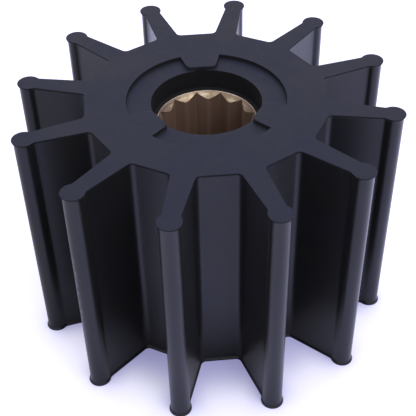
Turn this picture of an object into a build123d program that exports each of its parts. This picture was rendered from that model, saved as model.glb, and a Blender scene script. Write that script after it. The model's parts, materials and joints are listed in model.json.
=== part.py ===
from build123d import *
import os
from math import atan2, degrees, hypot, radians, tan

# Flexible impeller of a marine raw-water pump: a twelve-vane rubber wheel moulded round a
# splined brass bush. Millimetres, +Z along the shaft, origin at the centre of the lower end face.

# ---- rubber wheel ----
tip_radius = 47.625            # axis to the outermost point of a vane, at the end faces
width = 63.5                   # from end face to end face
vane_count = 12
bead_radius = 2.44             # round bead along each vane tip
web_root_thickness = 5.0       # vane where it leaves the hub
web_tip_thickness = 3.2        # vane where it runs into its bead
hub_flat_radius = 29.0         # axis to the middle of a flat between two vanes
root_fillet = 1.8              # rubber corner between vane and hub
neck_fillet = 1.6              # rubber corner between vane and bead
flare_width = 0.4              # how far the rubber stands out all round at an end face
flare_height = 0.9             # how far from an end face that flare starts

# ---- end recess with its drive tabs ----
recess_width = 5.95            # ring of sunk floor round the bore
recess_depth = 1.0
tab_count = 3
tab_angle = 30.0               # degrees between the two side walls of a tab
tab_setback = 0.1              # tab tip to the bore wall
tab_corner_radius = 1.0
first_tab_pitch = 3.5          # tabs sit half way between vanes: this many vane pitches from +X

# ---- splined brass bush ----
spline_teeth = 12
spline_root_radius = 12.0      # axis to the bottom of a groove
tooth_height = 1.45            # groove bottom to the unrounded tooth crest
crest_rounding = 2.0
spline_turn = 22.9             # degrees from +X to the first groove
lead_in_margin = 0.2           # mouth of the lead-in cone beyond the groove bottoms
nose_land = 0.25               # flat ring left round the lead-in cone
nose_length = 1.6              # stepped nose that the rubber closes round
bush_wall = 3.0                # brass outside the groove bottoms
ledge_width = 1.0              # rubber ledge round the nose, at the bottom of the bore
bush_setback = 6.35            # end face of the rubber to end face of the bush

# ---- sizes that follow ----
vane_pitch = 360 / vane_count
spline_pitch = 360 / spline_teeth
bead_centre = tip_radius - flare_width - bead_radius
crest_radius = spline_root_radius - tooth_height
lead_in_radius = spline_root_radius + lead_in_margin
nose_radius = lead_in_radius + nose_land
bush_radius = spline_root_radius + bush_wall
bush_length = width - 2 * bush_setback
bore_radius = nose_radius + ledge_width
recess_radius = bore_radius + recess_width
mid_plane = Plane.XY.offset(width / 2)


def vane_outline():
    """One vane seen along the shaft, pointing along +X: a tapered web that ends in a round bead."""
    web = Polygon(
        (bush_radius, -web_root_thickness / 2),
        (hub_flat_radius, -web_root_thickness / 2),
        (bead_centre, -web_tip_thickness / 2),
        (bead_centre, web_tip_thickness / 2),
        (hub_flat_radius, web_root_thickness / 2),
        (bush_radius, web_root_thickness / 2),
        align=None,
    )
    bead = Pos(bead_centre, 0) * Circle(bead_radius)
    return web + bead


def wheel_outline():
    """Hub and vanes seen along the shaft, with the rubber's inside corners rounded."""
    outline = RegularPolygon(hub_flat_radius, vane_count, major_radius=False)
    for number in range(vane_count):
        outline += Rot(0, 0, number * vane_pitch) * vane_outline()
    corners = sorted(outline.vertices(), key=lambda corner: hypot(corner.X, corner.Y))
    outline = fillet(corners[:2 * vane_count], root_fillet)
    corners = sorted(outline.vertices(), key=lambda corner: hypot(corner.X, corner.Y))
    return fillet(corners[-2 * vane_count:], neck_fillet)


def end_flare(outline):
    """The lowest part of the wheel, where its outline grows towards the end face."""
    slope = degrees(atan2(flare_width, flare_height))
    return extrude(Pos(0, 0, flare_height) * outline, -flare_height, taper=-slope)


def tab_outline():
    """One tab seen along the shaft, pointing at the axis along +X: radial sides and a straight tip."""
    tip = bore_radius + tab_setback
    reach = 2 * recess_radius
    slope = tan(radians(tab_angle / 2))
    wedge = Polygon(
        (tip, -tip * slope),
        (reach, -reach * slope),
        (reach, reach * slope),
        (tip, tip * slope),
        align=None,
    )
    tip_corners = sorted(wedge.vertices(), key=lambda corner: corner.X)[:2]
    return fillet(tip_corners, tab_corner_radius)


def end_pocket():
    """What is hollow at the lower end face: the shallow recess between the tabs, and the bore."""
    floor = Circle(recess_radius)
    for number in range(tab_count):
        turn = first_tab_pitch * vane_pitch + number * 360 / tab_count
        floor -= Rot(0, 0, turn) * tab_outline()
    recess = extrude(floor + Circle(bore_radius), recess_depth)
    bore = extrude(Circle(bore_radius), bush_setback)
    return recess + bore


def bush_blank():
    """The turned bush before its bore is cut: a plain body with a stepped nose at each end."""
    nose = Cylinder(nose_radius, bush_length)
    body = Cylinder(bush_radius, bush_length - 2 * nose_length)
    return Pos(0, 0, width / 2) * (nose + body)


def spline_outline():
    """The splined hole seen along the shaft: V grooves between teeth with rounded crests."""
    points = []
    for number in range(spline_teeth):
        groove = spline_turn + number * spline_pitch
        crest = groove + spline_pitch / 2
        points.append(Vector(spline_root_radius, 0).rotate(Axis.Z, groove))
        points.append(Vector(crest_radius, 0).rotate(Axis.Z, crest))
    outline = Polygon(*points, align=None)
    crests = sorted(outline.vertices(), key=lambda corner: hypot(corner.X, corner.Y))
    return fillet(crests[:spline_teeth], crest_rounding)


def lead_in():
    """The 45 degree cone that opens the splined hole at the lower end of the bush."""
    depth = lead_in_radius - crest_radius + nose_land
    cone = Cone(
        lead_in_radius,
        lead_in_radius - depth,
        depth,
        align=(Align.CENTER, Align.CENTER, Align.MIN),
    )
    return Pos(0, 0, bush_setback) * cone


def rubber_impeller():
    """The rubber wheel, hollow where the bush, the bore and the end recesses are."""
    outline = wheel_outline()
    flare = end_flare(outline)
    wheel = extrude(outline, width) + flare + mirror(flare, mid_plane)
    pocket = end_pocket()
    return wheel - bush_blank() - pocket - mirror(pocket, mid_plane)


def splined_bush():
    """The brass bush with its splined hole."""
    hole = extrude(spline_outline(), width)
    cone = lead_in()
    return bush_blank() - hole - cone - mirror(cone, mid_plane)


os.makedirs("parts", exist_ok=True)
export_step(rubber_impeller(), "parts/rubber_impeller.step")
export_step(splined_bush(), "parts/splined_bush.step")
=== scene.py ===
# %% [markdown]
# # A rubber pump impeller, dressed for its portrait
#
# A flexible impeller is the soft wheel inside a raw-water pump. Twelve rubber vanes stand round a
# hub, and a splined brass bush is moulded into the middle to take the shaft. The construction is
# already settled in a fixed model. This lesson gives that model its true surfaces: the moulded
# rubber with its rounded and flared edges, and the turned and broached brass.
#
# The first cell loads the fixed model, with a way to ask a part for its lowest and highest corner.

# %% Load the fixed model
import json
from math import atan2, cos, pi, radians, sin

import bmesh
import bpy
import numpy as np
from mathutils import Matrix, Vector


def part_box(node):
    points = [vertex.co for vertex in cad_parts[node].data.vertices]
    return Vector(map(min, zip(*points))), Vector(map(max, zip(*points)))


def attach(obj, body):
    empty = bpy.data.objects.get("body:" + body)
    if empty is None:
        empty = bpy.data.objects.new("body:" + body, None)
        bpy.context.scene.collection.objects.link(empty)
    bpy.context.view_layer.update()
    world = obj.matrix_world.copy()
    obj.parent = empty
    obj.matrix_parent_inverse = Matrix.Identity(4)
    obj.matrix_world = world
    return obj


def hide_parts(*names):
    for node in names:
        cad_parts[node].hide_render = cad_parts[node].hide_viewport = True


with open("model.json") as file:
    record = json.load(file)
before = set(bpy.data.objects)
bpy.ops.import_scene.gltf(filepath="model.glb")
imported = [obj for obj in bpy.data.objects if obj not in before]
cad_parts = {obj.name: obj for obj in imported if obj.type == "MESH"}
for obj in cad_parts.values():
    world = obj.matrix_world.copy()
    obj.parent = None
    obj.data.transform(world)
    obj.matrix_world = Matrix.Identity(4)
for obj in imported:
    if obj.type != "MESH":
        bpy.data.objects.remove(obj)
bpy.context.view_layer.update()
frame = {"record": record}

# %% [markdown]
# ## Sizes
#
# Blender works in metres, and a part this small reads better in millimetres, so every size below
# is written as a number of `MM`. What the fixed model can say by itself is asked of it: the
# reach of the vanes, the width of the wheel, and where the bush sits. The other sizes are the
# maker's own, and each of them stands at the step that needs it first.

# %% Sizes read from the fixed model
MM = 0.001
wheel_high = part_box("rubber_impeller")[1]
bush_low, bush_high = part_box("splined_bush")
mounts = {mount["name"]: mount for mount in frame["record"]["mounts"]}

tip_radius = wheel_high.x
width = wheel_high.z
mid_height = width / 2
bush_radius = bush_high.x
bush_top = bush_high.z
bush_setback = bush_low.z              # how deep the bush sits below an end face
bore_radius = mounts["upper_bore"]["dims"]["r_mm"] * MM
print(f"wheel {2000 * tip_radius:.2f} x {1000 * width:.2f} mm, bore {2000 * bore_radius:.2f} mm")

# %% [markdown]
# ## From a grid of points to a mesh
#
# A surface that follows a formula is easiest to work out as a grid: one direction runs along the
# surface, the other across it, and numpy fills the whole array at once. Each four neighbours of
# the grid are one face. Where a surface is flat, a grid is wasted on it, and one polygon that
# follows its outline does. Several grids and polygons make up one moulded piece, so they are laid
# into one mesh, and the points that two of them share are merged. That closes every seam.

# %% Grids and polygons into one closed mesh
WELD = 0.0002 * MM                     # points that are nearer than this become one


def grid_faces(rows, columns, start):
    """Corner numbers of each four neighbours in a grid whose points are stored row by row."""
    row = np.arange(rows - 1)[:, None] * columns
    column = np.arange(columns - 1)[None, :]
    corner = start + (row + column).ravel()
    quads = np.stack([corner, corner + 1, corner + columns + 1, corner + columns], axis=1)
    return quads.tolist()


def closed_mesh(name, grids, flats=()):
    """One mesh from (rows, columns, 3) grids and (corners, 3) polygons, welded, facing outwards."""
    parts = [*grids, *flats]
    points = np.concatenate([part.reshape(-1, 3) for part in parts])
    starts = np.cumsum([0] + [part.size // 3 for part in parts]).tolist()
    faces = []
    for grid, start in zip(grids, starts):
        faces += grid_faces(*grid.shape[:2], start)
    for flat, start in zip(flats, starts[len(grids):]):
        faces.append(range(start, start + len(flat)))
    mesh = bpy.data.meshes.new(name)
    mesh.from_pydata(points, [], faces)

    shell = bmesh.new()
    shell.from_mesh(mesh)
    bmesh.ops.remove_doubles(shell, verts=shell.verts, dist=WELD)
    bmesh.ops.recalc_face_normals(shell, faces=shell.faces)
    open_edges = sum(1 for edge in shell.edges if len(edge.link_faces) != 2)
    shell.to_mesh(mesh)
    shell.free()

    mesh.shade_smooth()
    piece = bpy.data.objects.new(name, mesh)
    bpy.context.scene.collection.objects.link(piece)
    triangles = sum(len(polygon.vertices) - 2 for polygon in mesh.polygons)
    print(f"{name}: {triangles} triangles, {open_edges} open edges")
    return piece


print("a grid of 3 x 4 points has", len(grid_faces(3, 4, 0)), "faces")

# %% [markdown]
# ## The outline of the wheel
#
# Seen along the shaft, the wheel repeats every thirty degrees, and each repeat is symmetric about
# its vane. So half a vane is enough: from the middle of a gap, round the corner at the hub, along
# the web, in at the neck and round the bead to its tip. It is made of straight runs and arcs that
# meet without a kink, so every point also has a clear outward direction. That direction is what
# makes the side of the wheel easy: a curve a little outside this one is each point moved along
# its own.

# %% Sizes of a vane
vane_count = 12
half_pitch = pi / vane_count           # from the middle of a vane to the middle of a gap
hub_flat_radius = 29.0 * MM            # axis to the middle of a flat between two vanes
web_root_half = 2.5 * MM               # half the vane's thickness at the hub, and at its bead
web_tip_half = 1.6 * MM
bead_radius = 2.44 * MM
flare_width = 0.4 * MM                 # how far the rubber stands out all round at an end face
bead_centre = tip_radius - flare_width - bead_radius
root_fillet = 1.8 * MM                 # the hollow corner at the hub, and the one at the bead
neck_fillet = 1.6 * MM
print(f"{vane_count} vanes, {2000 * web_root_half:.1f} to {2000 * web_tip_half:.1f} mm thick")

# %% [markdown]
# ## Arcs and straight runs
#
# On an arc the outward direction simply turns from one angle to the next. A hollow corner bends
# round a centre that lies outside the rubber, and a bead bends round a centre inside it, so one
# formula with a signed radius serves both. On a straight run every point has the same direction.
# A curve object with a bevel could round the corners too, but it wouldn't say which way is out.

# %% Stretches of outline, as points and outward directions
def direction(angle):
    """The unit vector at that angle: its cosine and its sine."""
    return np.stack([np.cos(angle), np.sin(angle)], axis=-1)


def arc(centre, radius, start, end, steps):
    """Points on an arc: centre + radius x direction, as the direction turns from start to end."""
    normals = direction(np.linspace(start, end, steps + 1))
    return centre + radius * normals, normals


def straight(start, end, normal, steps):
    """Points spaced evenly from start to end, all with one outward direction."""
    share = np.linspace(0, 1, steps + 1)[:, None]
    return start + share * (end - start), np.repeat(normal[None, :], steps + 1, axis=0)


print("a quarter turn in 6 steps has", len(arc(0, 1, 0, pi / 2, 6)[0]), "points")

# %% [markdown]
# ## Half a vane
#
# A rounded corner touches both of its neighbours, so its centre is the one point that is a
# radius away from each. At the hub the neighbours are two straight lines, which gives two
# equations. At the neck they are a line and a circle, which gives an angle. The arcs come first,
# and the straight runs join their ends.

# %% From the middle of a gap to the tip of a vane
FLAT_STEPS, ROOT_STEPS, WEB_STEPS, NECK_STEPS, BEAD_STEPS = 5, 9, 12, 8, 14


def half_vane():
    """From the middle of a gap to the tip of the vane, which points along +X.

    The root corner's centre is its radius outside both the hub flat and the web. The neck
    corner's centre is its radius outside the web, and both radii away from the bead's centre.
    """
    taper = atan2(web_root_half - web_tip_half, bead_centre - hub_flat_radius)
    web_angle = pi / 2 - taper
    flat_normal = direction(half_pitch)
    web_normal = direction(web_angle)
    web_reach = web_normal @ np.array([hub_flat_radius, web_root_half])
    bead = np.array([bead_centre, 0.0])

    root = np.linalg.solve(
        np.array([flat_normal, web_normal]),
        np.array([hub_flat_radius + root_fillet, web_reach + root_fillet]),
    )
    lean = (web_reach + neck_fillet - web_normal @ bead) / (bead_radius + neck_fillet)
    neck_angle = web_angle + np.arccos(lean)
    neck = bead + (bead_radius + neck_fillet) * direction(neck_angle)

    root_arc = arc(root, -root_fillet, half_pitch, web_angle, ROOT_STEPS)
    neck_arc = arc(neck, -neck_fillet, web_angle, neck_angle, NECK_STEPS)
    bead_arc = arc(bead, bead_radius, neck_angle, 0, BEAD_STEPS)
    flat = straight(hub_flat_radius * flat_normal, root_arc[0][0], flat_normal, FLAT_STEPS)
    web = straight(root_arc[0][-1], neck_arc[0][0], web_normal, WEB_STEPS)

    later = [root_arc, web, neck_arc, bead_arc]
    points = np.concatenate([flat[0]] + [stretch[0][1:] for stretch in later])
    normals = np.concatenate([flat[1]] + [stretch[1][1:] for stretch in later])
    return points, normals


vane_points, vane_normals = half_vane()
print(f"half a vane: {len(vane_points)} points, tip at {vane_points[-1, 0] / MM:.2f} mm")

# %% [markdown]
# ## Turning and easing
#
# Two small tools are wanted all through the wheel. One turns a grid about the shaft, so that one
# vane becomes twelve. The other eases a share from 0 to 1 with a level start and a level end,
# which is how one moulded surface runs into the next without a crease. An Array modifier could
# repeat the vane as well, but numbers that are already in an array are turned in one line.

# %% Two tools for whole grids
def turned(grid, angle):
    """The grid turned about the shaft: x cos - y sin, x sin + y cos, z."""
    x, y, z = grid[..., 0], grid[..., 1], grid[..., 2]
    return np.stack([x * cos(angle) - y * sin(angle), x * sin(angle) + y * cos(angle), z], axis=-1)


def smooth(share):
    """Eases from 0 to 1 with a level start and a level end: 3s^2 - 2s^3, held outside 0 to 1."""
    share = np.clip(share, 0, 1)
    return share * share * (3 - 2 * share)


print("a quarter of the way along, easing has reached", smooth(0.25))

# %% [markdown]
# ## The side of the wheel
#
# The mould leaves each end of the wheel a little wider than the middle: the rubber flares out by
# less than half a millimetre where it meets the end face, and the edge itself is softly rounded.
# A Bevel modifier would round the edge but knows nothing of the flare. Here a profile says how
# far out the side stands at each height, from the end face to half height.

# %% The profile of the side
edge_round = 0.1 * MM                  # the soft edge between an end face and the side
flare_height = 0.9 * MM                # how far down the flare reaches below that edge
face_margin = 0.06 * MM                # a flat strip of the end face inside that edge
EDGE_STEPS, FLARE_STEPS, SIDE_STEPS = 5, 7, 2


def side_profile():
    """How far out the side stands and its height, from the upper face to the mid-plane.

    First the flat margin, then a quarter circle of edge_round, then a flare that eases back to
    nothing, then straight.
    """
    turn = np.linspace(0, pi / 2, EDGE_STEPS + 1)
    edge_out = flare_width - edge_round * (1 - np.sin(turn))
    edge_down = edge_round * (1 - np.cos(turn))
    share = np.linspace(0, 1, FLARE_STEPS + 1)[1:]
    flare_out = flare_width * (1 - smooth(share))
    flare_down = edge_round + share * flare_height
    side_down = np.linspace(edge_round + flare_height, mid_height, SIDE_STEPS + 1)[1:]
    out = np.concatenate([[edge_out[0] - face_margin], edge_out, flare_out, np.zeros(SIDE_STEPS)])
    down = np.concatenate([[0], edge_down, flare_down, side_down])
    return out, width - down


print(f"the side stands out by up to {side_profile()[0].max() / MM:.2f} mm")

# %% [markdown]
# ## The profile carried round the vanes
#
# Every point of the outline moves along its own outward direction by what the profile says, and
# one array operation does that for all heights at once. The lower half is the upper one mirrored,
# and so is the other side of each vane.

# %% Both sides of every vane
def side_grids():
    """Each side of each vane, from face to face: outline point + how far out x its direction."""
    out, height = side_profile()
    out = np.concatenate([out, out[-2::-1]])
    height = np.concatenate([height, width - height[-2::-1]])
    grids = []
    for side in (1, -1):
        flip = np.array([1, side])
        plan = (vane_points + out[:, None, None] * vane_normals) * flip
        heights = np.broadcast_to(height[:, None, None], plan.shape[:2] + (1,))
        half = np.concatenate([plan, heights], axis=-1)
        grids += [turned(half, 2 * half_pitch * number) for number in range(vane_count)]
    return grids


print("side:", sum(grid.shape[0] * grid.shape[1] for grid in side_grids()), "points")

# %% [markdown]
# ## The end faces
#
# The two end faces were ground flat, so the end of each vane is a single polygon: out along one
# side of the outline to the tip, back along the other, and home along a straight chord across the
# hub. Twelve such chords enclose the middle of the wheel. The points on a chord bunch up in the
# middle of the vane, because that is where the sides of the drive tabs will lie.

# %% The end of each vane
CHORD_STEPS = 13                       # on each half of a chord


def bunched(steps, strength=5.0):
    """From 0 to 1, close together near 0: the hyperbolic sine of even steps over its last value."""
    return np.sinh(strength * np.linspace(0, 1, steps + 1)) / np.sinh(strength)


def both_ends(grid):
    """The grid itself, for the upper end, and its mirror image in the mid-plane for the lower."""
    lower = grid * np.array([1, 1, -1]) + np.array([0, 0, width])
    return [grid, lower]


def face_outline():
    """The outline of the flat end face: the outline moved out to where its margin begins."""
    return vane_points + (flare_width - edge_round - face_margin) * vane_normals


def vane_ends():
    """One polygon at each end of each vane: outline, its mirror image, and the chord."""
    outline = face_outline()
    mirrored = outline[-2::-1] * np.array([1, -1])
    chord = np.stack([np.full(len(across), outline[0, 0]), outline[0, 1] * across], axis=-1)
    plan = np.concatenate([outline, mirrored, chord[1:-1]])
    end = np.column_stack([plan, np.full(len(plan), width)])
    ends = []
    for number in range(vane_count):
        ends += both_ends(turned(end, 2 * half_pitch * number))
    return ends


half_chord = bunched(CHORD_STEPS)
across = np.concatenate([-half_chord[:0:-1], half_chord])
print("end of a vane:", len(vane_ends()[0]), "corners")

# %% [markdown]
# ## The recess and its drive tabs
#
# Round the bore each end face is sunk by a millimetre, and three drive tabs stand in that recess
# at full height, each with straight radial sides and rounded corners. A Boolean cut would leave
# hard corners and long thin faces. Instead the recess is a height over the plane: the distance
# from its boundary says how far down the surface is, so its walls, corners and floor come from
# one formula.

# %% How deep the end face is sunk
recess_width = 5.95 * MM               # the ring of sunk floor round the bore
recess_radius = bore_radius + recess_width
recess_depth = 1.0 * MM
wall_run = 0.16 * MM                   # how far a recess wall leans from floor to face
WALL_OUTSIDE = 0.4                     # the share of that run that lies outside the boundary
tab_count = 3
first_tab = radians(105)               # from +X to the middle of a drive tab
tab_half_angle = radians(15)
tab_setback = 0.03 * MM
tab_tip = bore_radius + tab_setback    # axis to the straight tip of a tab
tab_corner = 1.0 * MM


def tab_distance(radius, angle):
    """How far inside a drive tab a point is: the nearer of its side and its tip, corner rounded."""
    spread = 2 * pi / tab_count
    local = (angle - first_tab + spread / 2) % spread - spread / 2
    from_side = radius * np.sin(tab_half_angle - np.abs(local))
    from_tip = radius * np.cos(local) - tab_tip
    short_side = np.maximum(tab_corner - from_side, 0)
    short_tip = np.maximum(tab_corner - from_tip, 0)
    beyond = np.maximum(np.minimum(from_side, from_tip) - tab_corner, 0)
    return tab_corner - np.hypot(short_side, short_tip) + beyond


def recess_drop(radius, angle):
    """How far the end face is sunk: the recess depth, eased in across its wall."""
    inside = np.minimum(recess_radius - radius, -tab_distance(radius, angle))
    return recess_depth * smooth(inside / wall_run + WALL_OUTSIDE)


half_way = (bore_radius + recess_radius) / 2
for place, angle in (("on a tab", first_tab), ("between tabs", first_tab + pi / tab_count)):
    print(f"{place}: sunk {recess_drop(half_way, angle) / MM:.2f} mm")

# %% [markdown]
# ## Rings from the chords to the bore
#
# The middle of an end face is a grid of rings. They stand close together where the face bends, at
# the wall of the recess, at the tips of the tabs and round the soft mouth of the bore, and far
# apart on the flat floor. Spending points this way keeps the wheel light and its edges crisp.

# %% The radius of each ring
mouth_round = 0.08 * MM                # the soft edge round the mouth of the bore
wall_from, wall_to = 0.6, -0.8         # rings on the recess wall, in runs from its boundary
floor_from_wall = 0.6 * MM             # where the rings on the floor start and stop
floor_from_bore = 1.3 * MM
tips_from_bore = 0.8 * MM              # where the rings on the rounded tab tips start
WALL_RINGS, FLOOR_RINGS, TIP_RINGS, MOUTH_RINGS = 12, 5, 18, 4


def ring_radii():
    """Ring radii from the recess wall to the bore, close together where the face bends."""
    wall = recess_radius + wall_run * np.linspace(wall_from, wall_to, WALL_RINGS)
    floor_ends = recess_radius - floor_from_wall, bore_radius + floor_from_bore
    floor = np.linspace(*floor_ends, FLOOR_RINGS)
    tab_tips = bore_radius + np.linspace(tips_from_bore, mouth_round, TIP_RINGS)
    turn = np.linspace(0, pi / 2, MOUTH_RINGS + 1)[1:]
    mouth = bore_radius + mouth_round * (1 - np.sin(turn))
    return np.concatenate([wall, floor, tab_tips, mouth])


def mouth_drop(radius):
    """The quarter circle at the mouth of the bore: its radius x (1 - root of (1 - reach^2))."""
    reach = np.clip((bore_radius + mouth_round - radius) / mouth_round, 0, 1)
    return mouth_round * (1 - np.sqrt(1 - reach * reach))


print(len(ring_radii()), "rings between the recess wall and the bore")

# %% [markdown]
# ## Grids that go all the way round
#
# The middle of the wheel and the bush are both round, so both are rows of points at one list of
# angles. One repeat of the angles is enough, copied round the circle. A row is then a radius for
# each angle and a height for each angle, and a turned surface is a row where both stay the same.

# %% Three tools for round grids
def all_round(angles, repeats):
    """One repeat's angles copied round the circle, with the first one again to close it."""
    angle = (angles + 2 * pi / repeats * np.arange(repeats)[:, None]).ravel()
    return np.append(angle, angle[0] + 2 * pi)


def turned_rows(profile, angle):
    """Rows of radius and of height from (radius, height) pairs, the same at every angle."""
    radius, height = np.array(profile).T[:, :, None] + np.zeros_like(angle)
    return radius, height


def round_grid(radius, height, angle):
    """Points at a radius, angle and height: radius x cosine, radius x sine, height."""
    return np.stack([radius * np.cos(angle), radius * np.sin(angle), height], axis=-1)


print("four quarter turns of one angle:", all_round(np.zeros(1), 4).round(2))

# %% [markdown]
# ## Down the bore and round the bush
#
# In the middle the rubber closes round the bush: below the bore it has a narrow ledge, then it
# steps in to the bush's nose and out again to its body. The same rings go on down there. They
# only step down and in or out, and meet the lower half of the wheel at half height. What the
# bush hides has to be there too, because a piece is only closed if its skin has no gap.

# %% The middle of the wheel
nose_radius = 12.45 * MM               # the stepped nose at each end of the bush
nose_length = 1.6 * MM
apron = 0.4 * MM                       # the first full circle is this far outside the recess
ledge_ring = 0.95                      # one more ring on the ledge, as a share of its width
APRON_STEPS, BORE_STEPS = 6, 6


def middle_grid():
    """From the innermost chords over the recess, down the bore and round the bush to half height.

    A ring's radius is a share between the chords' own radius and a circle. Below the mouth of
    the bore the rings only step down and in or out: bore wall, ledge, nose and body of the bush.
    """
    corner = face_outline()[0]
    angle = all_round(np.arctan(across[:-1] * corner[1] / corner[0]), vane_count)
    chord_radius = corner[0] / np.cos((angle + half_pitch) % (2 * half_pitch) - half_pitch)

    circle = recess_radius + apron
    share = smooth(np.linspace(0, 1, APRON_STEPS + 1))[:, None]
    outer = chord_radius + share * (circle - chord_radius)
    rings = ring_radii()[:, None] + np.zeros_like(angle)
    radius = np.concatenate([outer, rings])
    height = width - recess_drop(radius, angle) - mouth_drop(radius)

    ledge_height = width - bush_setback
    share = smooth(np.linspace(0, 1, BORE_STEPS + 1)[1:])[:, None]
    bore_height = height[-1] + share * (ledge_height - height[-1])
    bore_wall = np.full_like(bore_height, bore_radius)
    seat_radius, seat_height = turned_rows([
        (nose_radius + ledge_ring * (bore_radius - nose_radius), ledge_height),
        (nose_radius, ledge_height),
        (nose_radius, ledge_height - nose_length),
        (bush_radius, ledge_height - nose_length),
        (bush_radius, mid_height),
    ], angle)

    radius = np.concatenate([radius, bore_wall, seat_radius])
    height = np.concatenate([height, bore_height, seat_height])
    return round_grid(radius, height, angle)


print("middle of the wheel: {} rings of {} points".format(*middle_grid().shape))

# %% [markdown]
# ## The moulded wheel
#
# The sides, the two middles and the ends of the vanes become one closed skin. It rides on the
# fixed model's only body, stands for the rubber in it, and takes the finish that is kept for it.

# %% The wheel as one piece
wheel = closed_mesh("moulded_wheel", side_grids() + both_ends(middle_grid()), vane_ends())
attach(wheel, "root")
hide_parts("rubber_impeller")

# %% [markdown]
# ## The brass bush
#
# The bush is turned from bar, then its hole is cut by a broach: a long tool that is pulled through
# once and leaves a ring of teeth. Last, a cone is turned into each mouth so that the shaft finds
# its way in, and that cone slices every tooth off into a small bright scallop.
#
# Every point of the hole can be reached straight from the axis, so the hole is a radius that
# depends only on the angle, and no cutting is needed to make it.

# %% The broached hole as a radius
spline_teeth = 12
tooth_half_pitch = pi / spline_teeth
groove_radius = 12.0 * MM              # axis to the bottom of a groove
crest_radius = 10.55 * MM              # where the flanks of a tooth would meet
crest_round = 2.0 * MM
spline_turn = radians(22.9)            # from +X to the first groove


def tooth_radius(angle):
    """Axis to brass at an angle: the straight flank of a tooth, or the round on its crest.

    A flank runs from the crest's corner to the bottom of the groove. The round touches both
    flanks, so its centre is its radius, over the sine of the flank's lean, behind the corner.
    """
    local = (angle - spline_turn + 2 * tooth_half_pitch) % (2 * tooth_half_pitch)
    local = np.abs(local - tooth_half_pitch)
    groove = groove_radius * direction(tooth_half_pitch)
    lean = atan2(groove[1], groove[0] - crest_radius)
    flank = crest_radius * sin(lean) / np.sin(lean - local)
    centre = crest_radius + crest_round / sin(lean)
    touch = atan2(crest_round * cos(lean), centre - crest_round * sin(lean))
    within = np.minimum(local, touch)
    crest = centre * np.cos(within) - np.sqrt(crest_round**2 - (centre * np.sin(within)) ** 2)
    return np.where(local < touch, crest, flank)


for place, angle in (("groove", spline_turn), ("crest", spline_turn + tooth_half_pitch)):
    print(f"{place} at {tooth_radius(angle) / MM:.2f} mm from the axis")

# %% [markdown]
# ## Rows of the bush
#
# The outside is a turned profile with a small broken edge. The cone needs no cutting either: it
# is the rows between the mouth and the teeth, and as it leans at 45 degrees, each point of it is
# as deep as it is far in. Where the cone has come down to the teeth, the hole begins, and its
# rows run straight down from there. They follow each other closely at the start, so that the
# rim of every scallop stays sharp.

# %% The bush as one piece
lead_in_radius = 12.2 * MM             # the mouth of the cone
brass_edge = 0.07 * MM                 # the broken edge round the face of the nose
cone_shares = np.array([0.02, 0.06, 0.2, 0.4, 0.6, 0.8, 0.93, 0.98])[:, None]
hole_depths = np.array([0.05, 0.2, 1.5, 6])[:, None] * MM


def tooth_angles():
    """Angles across one tooth, closer together on the round crest and in the groove."""
    crest, flank, groove = np.linspace(0, 0.24, 7), np.linspace(0.3, 0.9, 5), [0.97, 1]
    half = np.concatenate([crest, flank, groove]) * tooth_half_pitch
    middle = spline_turn + tooth_half_pitch
    return np.concatenate([middle - half[::-1], middle + half[1:-1]])


def bush_grid():
    """From the body of the bush over its nose and face, down the cone and into the hole.

    A point of the cone is a share of the way from the mouth to the teeth, and as deep as it is
    far in. The hole keeps the radius of the teeth from the foot of the cone to half height.
    """
    angle = all_round(tooth_angles(), spline_teeth)
    teeth = tooth_radius(angle)
    turned_radius, turned_height = turned_rows([
        (bush_radius, mid_height),
        (bush_radius, bush_top - nose_length),
        (nose_radius, bush_top - nose_length),
        (nose_radius, bush_top - 2 * brass_edge),
        (nose_radius, bush_top - brass_edge),
        (nose_radius - 0.3 * brass_edge, bush_top - 0.3 * brass_edge),
        (nose_radius - brass_edge, bush_top),
        (lead_in_radius + 0.5 * brass_edge, bush_top),
    ], angle)

    cone_radius = lead_in_radius + cone_shares * (teeth - lead_in_radius)
    cone_height = bush_top - (lead_in_radius - cone_radius)
    cone_foot = bush_top - (lead_in_radius - teeth)
    hole_height = np.concatenate([cone_foot - hole_depths, np.full((1, len(angle)), mid_height)])
    hole_radius = np.broadcast_to(teeth, hole_height.shape)

    radius = np.concatenate([turned_radius, cone_radius, hole_radius])
    height = np.concatenate([turned_height, cone_height, hole_height])
    return round_grid(radius, height, angle)


bush = closed_mesh("broached_bush", both_ends(bush_grid()))
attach(bush, "root")
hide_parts("splined_bush")

# %% [markdown]
# ## Shader maths that reads like maths
#
# A procedural material is a sum of patterns. Placed by hand, every plus and every times is a node
# of its own, and the idea is soon lost. Here one small class wraps a socket and answers to the
# usual operators, so that a mask is written as a formula and the Math nodes are added behind it.

# %% A socket that can be added and multiplied
class Signal:
    """What a socket gives: numbers that vary over a surface, and answer to + - * ** and abs."""

    def __init__(self, shading, socket):
        self.shading = shading
        self.socket = socket

    def math(self, operation, *values):
        """A Math node that does one operation on these values."""
        return self.shading.node("ShaderNodeMath", {"operation": operation}, dict(enumerate(values)))

    def __add__(self, other):
        return self.math("ADD", self, other)

    def __sub__(self, other):
        return self.math("SUBTRACT", self, other)

    def __rsub__(self, other):
        return self.math("SUBTRACT", other, self)

    def __mul__(self, other):
        return self.math("MULTIPLY", self, other)

    def __pow__(self, other):
        return self.math("POWER", self, other)

    def __abs__(self):
        return self.math("ABSOLUTE", self)

    __radd__ = __add__
    __rmul__ = __mul__


print("a signal answers to: + - * ** abs")

# %% [markdown]
# ## Any other node
#
# A second class holds a node tree, and one method of it adds a node of any kind: what it is, its
# settings, and what goes into its sockets. Masks with soft ends, and blends of two colours or two
# shaders, are built on it. So is the question that materials and the sky both ask of the Light
# Path node: does the eye see this, straight or in a mirror, or does its light only fall on
# things? A studio may look whiter than the light it gives.

# %% A node tree that grows through one method
SEEN_RAYS = ("Is Camera Ray", "Is Glossy Ray", "Is Transmission Ray")


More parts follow.
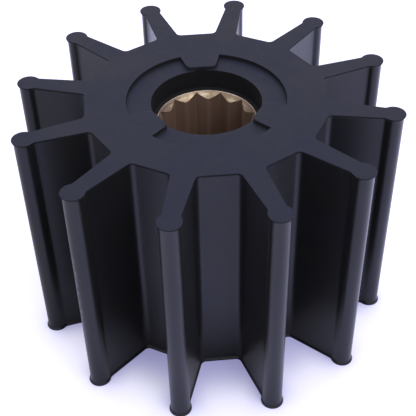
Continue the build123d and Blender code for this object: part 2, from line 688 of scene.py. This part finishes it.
class Shading:
    """The node tree of a material or of the sky."""

    def __init__(self, tree):
        self.tree = tree
        self.tree.nodes.clear()

    def node(self, kind, settings=None, sockets=None, output=0):
        """Adds a node: its settings first, then each socket's value or link. Returns one output."""
        node = self.tree.nodes.new(kind)
        for name, value in (settings or {}).items():
            setattr(node, name, value)
        for name, value in (sockets or {}).items():
            if isinstance(value, Signal):
                self.tree.links.new(value.socket, node.inputs[name])
            else:
                node.inputs[name].default_value = value
        return Signal(self, node.outputs[output]) if node.outputs else None

    def step(self, value, start, end):
        """0 below start and 1 above end, eased in between. A start above its end turns it round."""
        sockets = {"Value": value, "From Min": start, "From Max": end}
        return self.node("ShaderNodeMapRange", {"interpolation_type": "SMOOTHSTEP"}, sockets)

    def blend(self, share, first, second):
        """A colour between two: the first where share is 0, the second where it is 1."""
        first_in, second_in, colour_out = 6, 7, 2
        sockets = {0: share, first_in: first, second_in: second}
        return self.node("ShaderNodeMix", {"data_type": "RGBA"}, sockets, colour_out)

    def mixed(self, share, first, second):
        """A shader between two, as blend is a colour between two."""
        return self.node("ShaderNodeMixShader", sockets={0: share, 1: first, 2: second})

    def seen_directly(self):
        """1 for what the camera sees, also mirrored or through glass, and 0 for lighting."""
        camera, glossy, through = (self.node("ShaderNodeLightPath", output=ray) for ray in SEEN_RAYS)
        total = camera + glossy + through
        return total.math("MINIMUM", total, 1.0)


print("seen directly:", ", ".join(SEEN_RAYS))

# %% [markdown]
# ## Coordinates in millimetres
#
# A material needs a little more: where on the piece a point is, noise of a given size, relief and
# a shader. The pieces stand at the origin, so Object coordinates are places on the real part, and
# multiplied by a thousand they are millimetres. From here on a bare length in a finish is a
# number of millimetres.

# %% A finish for one material
class Finish(Shading):
    """A procedural material that reads Object coordinates."""

    def __init__(self, name):
        self.material = bpy.data.materials.new(name)
        self.material.use_nodes = True
        super().__init__(self.material.node_tree)
        metres = self.node("ShaderNodeTexCoord", output="Object")
        self.place = self.stretched(metres, (1 / MM, 1 / MM, 1 / MM))
        self.x, self.y, self.z = (self.part_of(self.place, axis) for axis in "XYZ")
        self.radius = (self.x * self.x + self.y * self.y) ** 0.5

    def part_of(self, vector, axis):
        """One axis of a vector."""
        return self.node("ShaderNodeSeparateXYZ", sockets={0: vector}, output=axis)

    def stretched(self, vector, amounts):
        """A vector with each axis multiplied by its own amount."""
        return self.node("ShaderNodeVectorMath", {"operation": "MULTIPLY"}, {0: vector, 1: amounts})

    def noise(self, size, detail=3.0, stretch=(1, 1, 1), place=None):
        """Cloudy noise from 0 to 1 with blotches of about that size, stretched along an axis."""
        amounts = tuple(1 / (size * amount) for amount in stretch)
        sockets = {"Vector": self.stretched(place or self.place, amounts)}
        sockets |= {"Scale": 1.0, "Detail": detail}
        return self.node("ShaderNodeTexNoise", sockets=sockets)

    def bump(self, height, lift):
        """The surface's direction where a height of 1 stands for that many millimetres."""
        sockets = {"Distance": lift * MM, "Height": height}
        return self.node("ShaderNodeBump", sockets=sockets, output="Normal")

    def principled(self, **sockets):
        """A Principled shader. An underscore in a name stands for a space."""
        values = {name.replace("_", " "): value for name, value in sockets.items()}
        return self.node("ShaderNodeBsdfPrincipled", sockets=values)

    def finished(self, shader):
        """Ends the material in that shader."""
        self.node("ShaderNodeOutputMaterial", sockets={"Surface": shader})
        print(f"{self.material.name}: {len(self.tree.nodes)} nodes")
        return self.material


def colour(red, green, blue):
    """A colour with full alpha, in linear light."""
    return (red, green, blue, 1.0)


def dress(piece, material):
    """Gives the piece that one material."""
    piece.data.materials.clear()
    piece.data.materials.append(material)


half_width = mid_height / MM
print(f"in a finish the wheel is {2 * half_width:.1f} wide")

# %% [markdown]
# ## Where the rubber is ground, moulded, or dulled as painted shade
#
# The sides of the vanes took their satin skin from the mould. The end faces were ground, and so
# were the floors of the recesses. The bore, the walls of the recess and the edges just under an
# end face, the upper one above all, get a dull shader that mirrors little: painted shade, which
# keeps those hollows and the line under each top face dark. One material does for the whole
# moulding, because the distance from half height and the distance from the axis are enough to
# tell its zones apart. Painted masks would need an unwrapped surface, and a formula doesn't.

# %% The zones of the moulding
# The edge band under each end face is partly painted shade: the dull shader darkens it, the upper
# band far more than the lower.
edge_from, edge_to = 0.5, 1.0          # how deep below a face the dull edge begins and ends to fade


def rubber_zones(finish):
    """Three masks: the ground flats, the edges under the end faces, and the dull painted shade."""
    floor_level = half_width - recess_depth / MM
    recess_reach = recess_radius / MM
    bore_reach = bore_radius / MM
    from_middle = abs(finish.z - half_width)

    ground = finish.step(from_middle, half_width - 0.05, half_width - 0.01)
    edge = finish.step(from_middle, half_width - edge_to, half_width - edge_from) * (1 - ground)
    middle = finish.step(finish.radius, recess_reach + 0.2, recess_reach + 0.1)
    recess = middle * finish.step(from_middle, floor_level - 0.1, floor_level - 0.03)
    flat = ground + (1 - ground) * recess

    bore = finish.step(finish.radius, bore_reach + 0.05, bore_reach + 0.01)
    above_floor = finish.step(from_middle, floor_level + 0.03, floor_level + 0.12)
    walls = recess * (1 - ground) * above_floor
    # Painted shade: the bore, the walls of the recess and the edge bands go to the dull shader, the
    # upper band much more than the lower, to darken the line under each top face.
    upper = finish.step(finish.z, half_width, half_width + 1.0)
    dull_shade = bore.math("MAXIMUM", bore, walls)
    dull_shade = dull_shade.math("MAXIMUM", dull_shade, edge * (0.1 + upper * 0.75))
    return flat, edge, dull_shade


print(f"the dull edge ends {edge_to:.1f} mm below an end face")

# %% [markdown]
# ## Chalk on one bead
#
# Handling has left a line of chalky flecks along one bead, and nowhere else. They are noise with
# only its peaks kept, inside an upright stretch of that bead. As they stand a little proud of the
# skin, the same mask also goes into the relief.

# %% Chalky flecks
fleck_x, fleck_y, fleck_z = -24.35, -40.2, 32.0  # the middle of the flecked stretch, in mm


def chalky_flecks(finish):
    """Peaks of noise where the square of the distance from the line, and the height, are small."""
    from_x = finish.x - fleck_x
    from_y = finish.y - fleck_y
    stretch = finish.step(from_x * from_x + from_y * from_y, 1.8, 0.5)
    stretch = stretch * finish.step(abs(finish.z - fleck_z), 18.0, 8.0)
    return stretch * finish.step(finish.noise(0.7, detail=2.0), 0.5, 0.62)


print(f"flecks at {np.hypot(fleck_x, fleck_y):.1f} mm from the axis")

# %% [markdown]
# ## Moulded rubber
#
# The rubber is a carbon-black compound, and a black thing is mostly what it mirrors. The moulded
# sides have a soft gloss under a thin coat, drawn along the shaft. The ground faces carry fine
# strokes in one direction, and their reflection is bluish. A bloom lies on both in patches, a
# little cooler than the black. A tint and the gloss of a coat stay the same all over a
# Principled shader here, because few other programs can read one that varies. So each skin has a
# shader of its own, and two Mix Shaders lay them where the zones say.

# %% Rubber
def rubber_finish():
    """Black rubber: ground flats, satin sides, a dull shader as painted shade in hollows and at
    edges, chalk on one bead.
    """
    finish = Finish("moulded_rubber")
    # unlit is the mask of painted shade, where the dull shader is laid.
    flat, edge, unlit = rubber_zones(finish)
    flecks = chalky_flecks(finish)
    bloom = finish.noise(14.0, detail=4.0)
    mottle = finish.noise(2.2)
    grain = finish.noise(0.35)
    strokes = finish.noise(0.25, stretch=(1, 18, 1))
    drawn = finish.noise(0.6, stretch=(1, 1, 25))

    black = colour(0.0142, 0.0144, 0.0132)
    cool = colour(0.0126, 0.0128, 0.0154)
    scuffed = colour(0.012, 0.012, 0.016)
    chalky = colour(0.15, 0.14, 0.23)
    base = finish.blend(finish.step(bloom + mottle * 0.3, 0.52, 0.76), black, cool)
    base = finish.blend(edge * finish.step(mottle, 0.5, 0.7) * 0.5, base, scuffed)
    base = finish.blend(flecks, base, chalky)

    relief = grain * 0.3 + mottle * 0.25 + flat * strokes * 0.5
    relief = relief + (1 - flat) * (drawn * 0.3 + flecks * 2.0)
    normal = finish.bump(relief, 0.02)
    moulded = finish.principled(
        Base_Color=base,
        Roughness=0.2 + drawn * 0.12 + mottle * 0.08 + bloom * 0.1,
        Specular_IOR_Level=0.27,
        Specular_Tint=colour(0.84, 0.86, 1.0),
        Coat_Weight=0.62,
        Coat_Roughness=0.3,
        Coat_IOR=1.25,
        Normal=normal,
    )
    stroked = finish.principled(
        Base_Color=base,
        Roughness=0.38 + mottle * 0.12 + strokes * 0.1 + bloom * 0.1,
        Specular_IOR_Level=0.38,
        Specular_Tint=colour(0.34, 0.38, 1.0),
        Normal=normal,
    )
    # The dull shader mirrors little. Where the zones lay it, it is painted shade.
    dull_shade = finish.principled(
        Base_Color=cool,
        Roughness=0.7,
        Specular_IOR_Level=0.15,
        Normal=normal,
    )
    return finish.finished(finish.mixed(unlit, finish.mixed(flat, moulded, stroked), dull_shade))


dress(wheel, rubber_finish())

# %% [markdown]
# ## The colours of the turned cone
#
# The cone that leads into the hole was turned, and its brass has gone from yellow to a patchy
# tan, with lighter streaks round it where the tool rubbed. Painted shade makes it browner just
# under its rim and at its two sides, and the rim itself carries a thin painted highlight. Each of
# these is one more colour laid over the last, by a mask from noise, from the distance to the axis or
# from the place.

# %% Colours of the cone
# What these call tarnish at the two sides is painted shade: cone_turn leans the line between the
# sides, and the shade grows between side_from and side_to from it.
cone_turn = 0.19                       # how far the line between the tarnished sides leans
side_from, side_to = 7.0, 11.0         # the tarnish grows between these distances from it


def cone_colour(finish, patch, streaks):
    """Clean and worn tan, blushed, streaked, painted shade below the rim and at the sides, painted
    rim highlight.
    """
    mouth = lead_in_radius / MM
    clean, worn = colour(0.41, 0.325, 0.225), colour(0.235, 0.17, 0.112)
    rosy, rubbed = colour(0.34, 0.23, 0.20), colour(0.65, 0.555, 0.425)
    shaded, painted_side_shade = colour(0.20, 0.14, 0.105), colour(0.17, 0.12, 0.105)
    painted_rim_highlight = colour(0.80, 0.66, 0.58)

    blush = finish.step(finish.noise(1.3), 0.45, 0.7)
    # Painted shade: below_rim darkens the cone just under its rim, and sides darkens its two sides.
    below_rim = finish.step(finish.radius, mouth - 0.8, mouth - 0.15)
    sides = finish.step(abs(finish.x + finish.y * cone_turn), side_from, side_to)
    # Painted highlight: a thin bright line round the rim, weaker at the shaded sides.
    rim = finish.step(finish.radius, mouth - 0.08, mouth + 0.02)
    tan = finish.blend(finish.step(patch, 0.35, 0.65), clean, worn)
    tan = finish.blend(blush * 0.7, tan, rosy)
    tan = finish.blend(finish.step(streaks, 0.5, 0.7) * 0.8, tan, rubbed)
    tan = finish.blend(below_rim * 0.55, tan, shaded)
    tan = finish.blend(sides * 0.55, tan, painted_side_shade)
    return finish.blend(rim * (1 - sides * 0.5), tan, painted_rim_highlight)


print(f"cone tarnished beyond {side_from:.0f} mm, rim at {lead_in_radius / MM:.1f} mm")

# %% [markdown]
# ## Turned and broached brass
#
# The turning tool leaves fine rings, so the cone's noise is read at the radius and the angle
# instead of x and y, and comes out as rings of itself. Down in the hole the broach's long strokes
# run with the shaft, and the metal is brown. On the 45 degree cone the depth and the radius add
# up to the radius of its mouth, and where they add up to more, a point is past the cone.

# %% Brass
def brass_finish():
    """Turned cone with ring marks and a painted highlight on its rim, brown broached hole with
    strokes down it.
    """
    finish = Finish("cut_brass")
    depth = (bush_top - mid_height) / MM - abs(finish.z - half_width)
    hole = finish.step(depth + finish.radius - lead_in_radius / MM, 0.02, 0.3)

    patch = finish.noise(1.8, detail=4.0)
    grain = finish.noise(0.12)
    strokes = finish.step(finish.noise(1.5, detail=5.0, stretch=(1, 1, 60)), 0.34, 0.66)
    angle = finish.y.math("ARCTAN2", finish.y, finish.x)
    polar = finish.node("ShaderNodeCombineXYZ", sockets={"X": finish.radius, "Y": angle})
    rings = finish.noise(0.11, place=polar)
    streaks = finish.noise(0.4, stretch=(1, 0.8, 1), place=polar)

    dark_brown, light_brown = colour(0.29, 0.185, 0.137), colour(0.335, 0.235, 0.175)
    brown = finish.blend(strokes, dark_brown, light_brown)
    relief = (1 - hole) * (rings * 0.5 + streaks * 0.5 + grain * 0.2) + hole * strokes
    shader = finish.principled(
        Base_Color=finish.blend(hole, cone_colour(finish, patch, streaks), brown),
        Roughness=0.36 + patch * 0.14 + streaks * 0.08 + hole * (0.05 + strokes * 0.12),
        Metallic=1 - hole * 0.45,
        Normal=finish.bump(relief, 0.02),
    )
    return finish.finished(shader)


dress(bush, brass_finish())

# %% [markdown]
# ## The floor
#
# The wheel stands on a broad sheet of pale paper. It is stage and no part of the wheel, and one
# face is all the mesh that it needs.

# %% A plain floor
floor_size = 4.0                       # metres
floor_mesh = bpy.data.meshes.new("studio_floor")
corners = floor_size / 2 * np.array([[-1, -1, 0], [1, -1, 0], [1, 1, 0], [-1, 1, 0]])
floor_mesh.from_pydata(corners, [], [[0, 1, 2, 3]])
floor = bpy.data.objects.new("studio_floor", floor_mesh)
bpy.context.scene.collection.objects.link(floor)
print(f"floor: {floor.dimensions.x:.1f} m square")

# %% [markdown]
# ## Paper that glows for the eye only
# Black rubber shows its surroundings, so the paper matters as much as the lamps. It has a little
# light of its own, and the Light Path node gives it three looks. To the camera that light is
# white where the paper is open, and an Ambient Occlusion node turns it to a weaker lavender where
# the vanes are near: that lavender is painted shade. In reflections it is lavender, with none
# where the vanes are near, again painted shade, and it fades out in a patch at the left of the
# wheel, a painted dark patch standing in for something dark beside it. Where the paper only
# bounces light, it adds none of its own and is nearly neutral, so that shaded rubber stays black.

# %% The paper
shade_reach = 13.0                     # how near a vane has to be to shade the paper, in mm
dim_x, dim_y = -95.0, -15.0            # the middle of the dim patch, and where it starts and ends
dim_inner, dim_outer = 30.0, 120.0


def floor_finish():
    """Pale paper that keeps shadows and glows for the eye where open, with painted shade near the
    vanes and a painted dark patch in reflections.
    """
    finish = Finish("studio_paper")
    reach = {"Distance": shade_reach * MM}
    # Painted shade: where Ambient Occlusion finds the vanes near, the glow turns to a weaker
    # lavender, and in reflections to none.
    openness = finish.node("ShaderNodeAmbientOcclusion", sockets=reach, output="AO")
    clear = finish.step(openness, 0.33, 1.0)
    in_shade, in_the_open = colour(0.155, 0.155, 0.30), colour(0.65, 0.645, 0.65)
    shown = finish.blend(clear, in_shade, in_the_open)

    # A painted dark patch at the left of the wheel, seen only in reflections, standing in for
    # something dark beside it.
    from_x = finish.x - dim_x
    from_y = finish.y - dim_y
    lit = finish.step((from_x * from_x + from_y * from_y) ** 0.5, dim_inner, dim_outer)
    no_glow, lavender_glow = colour(0, 0, 0), colour(0.47, 0.48, 0.80)
    mirrored = finish.blend(clear * lit, no_glow, lavender_glow)

    camera = finish.node("ShaderNodeLightPath", output="Is Camera Ray")
    glow = finish.blend(camera, mirrored, shown)
    paper = finish.noise(40.0)
    lavender = finish.blend(paper, colour(0.64, 0.63, 0.93), colour(0.66, 0.65, 0.95))
    bounce = colour(0.70, 0.69, 0.80)
    shader = finish.principled(
        Base_Color=finish.blend(camera, bounce, lavender),
        Roughness=0.9,
        Emission_Color=finish.blend(finish.seen_directly(), no_glow, glow),
        Emission_Strength=1.0,
        Normal=finish.bump(paper, 0.01),
    )
    return finish.finished(shader)


dress(floor, floor_finish())

# %% [markdown]
# ## The sky
#
# A pale sky all round stands in for the white walls of a studio. Where it is seen or mirrored it
# is plain white. Where it only lights, it is dimmer and a touch lavender, because a full white
# fill would wash the shadows away.

# %% A sky with two strengths
def sky(seen, fill, fill_level):
    """One colour where the sky is seen or mirrored, and a dimmer fill where it only lights."""
    world = bpy.data.worlds.new("studio_sky")
    bpy.context.scene.world = world
    world.use_nodes = True
    shading = Shading(world.node_tree)
    lighting = shading.node("ShaderNodeBackground", sockets={"Color": fill, "Strength": fill_level})
    backdrop = shading.node("ShaderNodeBackground", sockets={"Color": seen, "Strength": 1.0})
    both = shading.mixed(shading.seen_directly(), lighting, backdrop)
    shading.node("ShaderNodeOutputWorld", sockets={"Surface": both})
    print(f"sky: fill level {fill_level}")


sky(seen=colour(1, 1, 1), fill=colour(0.86, 0.87, 1.0), fill_level=0.55)

# %% [markdown]
# ## The camera
#
# The camera looks down at the wheel from the front, close enough for the far vanes to look
# smaller. Its place is given by two angles and a distance, and a small roll levels the picture.
# The three directions of the camera, right, up and back, are the columns of its rotation.

# %% The camera
view_azimuth = radians(-79.38)         # from +X, seen from above
view_elevation = radians(41.7)
view_roll = radians(-1.32)
view_distance = 242.85 * MM
target_right = 0.16 * MM               # how far the middle of the picture is from the wheel's
target_up = 2.97 * MM
lens = 79.51                           # millimetres, on a 36 mm sensor
wheel_middle = Vector((0, 0, mid_height))


def place_camera():
    """Stands at middle + distance x back, shifted so that the wheel sits a little off centre."""
    flat = cos(view_elevation)
    back = Vector((cos(view_azimuth) * flat, sin(view_azimuth) * flat, sin(view_elevation)))
    level = Vector((-sin(view_azimuth), cos(view_azimuth), 0))
    upright = back.cross(level)
    right = cos(view_roll) * level + sin(view_roll) * upright
    up = -sin(view_roll) * level + cos(view_roll) * upright
    place = wheel_middle + view_distance * back - target_right * right - target_up * up
    data = bpy.data.cameras.new("portrait")
    data.lens = lens
    data.clip_start = 10 * MM
    camera = bpy.data.objects.new("portrait", data)
    bpy.context.scene.collection.objects.link(camera)
    rotation = Matrix((right, up, back)).transposed()
    camera.matrix_world = Matrix.Translation(place) @ rotation.to_4x4()
    bpy.context.scene.camera = camera
    return camera, right, up, back


camera, right, up, back = place_camera()
print("camera at", tuple(round(value, 4) for value in camera.location))

# %% [markdown]
# ## Two sheets of light
#
# A soft, dark object needs broad light, and an area lamp is as soft as it is large. A wide sheet
# overhead, a little behind the wheel, gives the end faces their even sheen and the floor its soft
# shadow. A small one at the front and to the right, as seen from the camera, picks out the beads
# and the hub. Point lamps would draw hard shadows between the vanes.

# %% Lamps that face the wheel
def sheet_of_light(name, place, size, power, tint):
    """A square area lamp at a place, turned to face the middle of the wheel."""
    data = bpy.data.lights.new(name, "AREA")
    data.size = size
    data.energy = power
    data.color = tint
    lamp = bpy.data.objects.new(name, data)
    bpy.context.scene.collection.objects.link(lamp)
    lamp.location = place
    lamp.rotation_euler = (lamp.location - wheel_middle).to_track_quat("Z", "Y").to_euler()
    print(f"{name}: {size} m wide, {power} W")


overhead_place = Vector((0, 0.18, 0.9))             # in metres
front_place = 0.8 * back + 0.4 * right + 0.2 * up   # in metres along the camera's directions
sheet_of_light("overhead_sheet", overhead_place, size=0.9, power=3.5, tint=(0.95, 0.95, 1.0))
sheet_of_light("front_sheet", front_place, size=0.45, power=1.6, tint=(1.0, 0.99, 1.0))

# %% [markdown]
# ## The view
#
# The picture is shown as the colours are written, with no film look.

# %% View settings and the end
bpy.context.scene.view_settings.view_transform = "Standard"
bpy.context.view_layer.update()
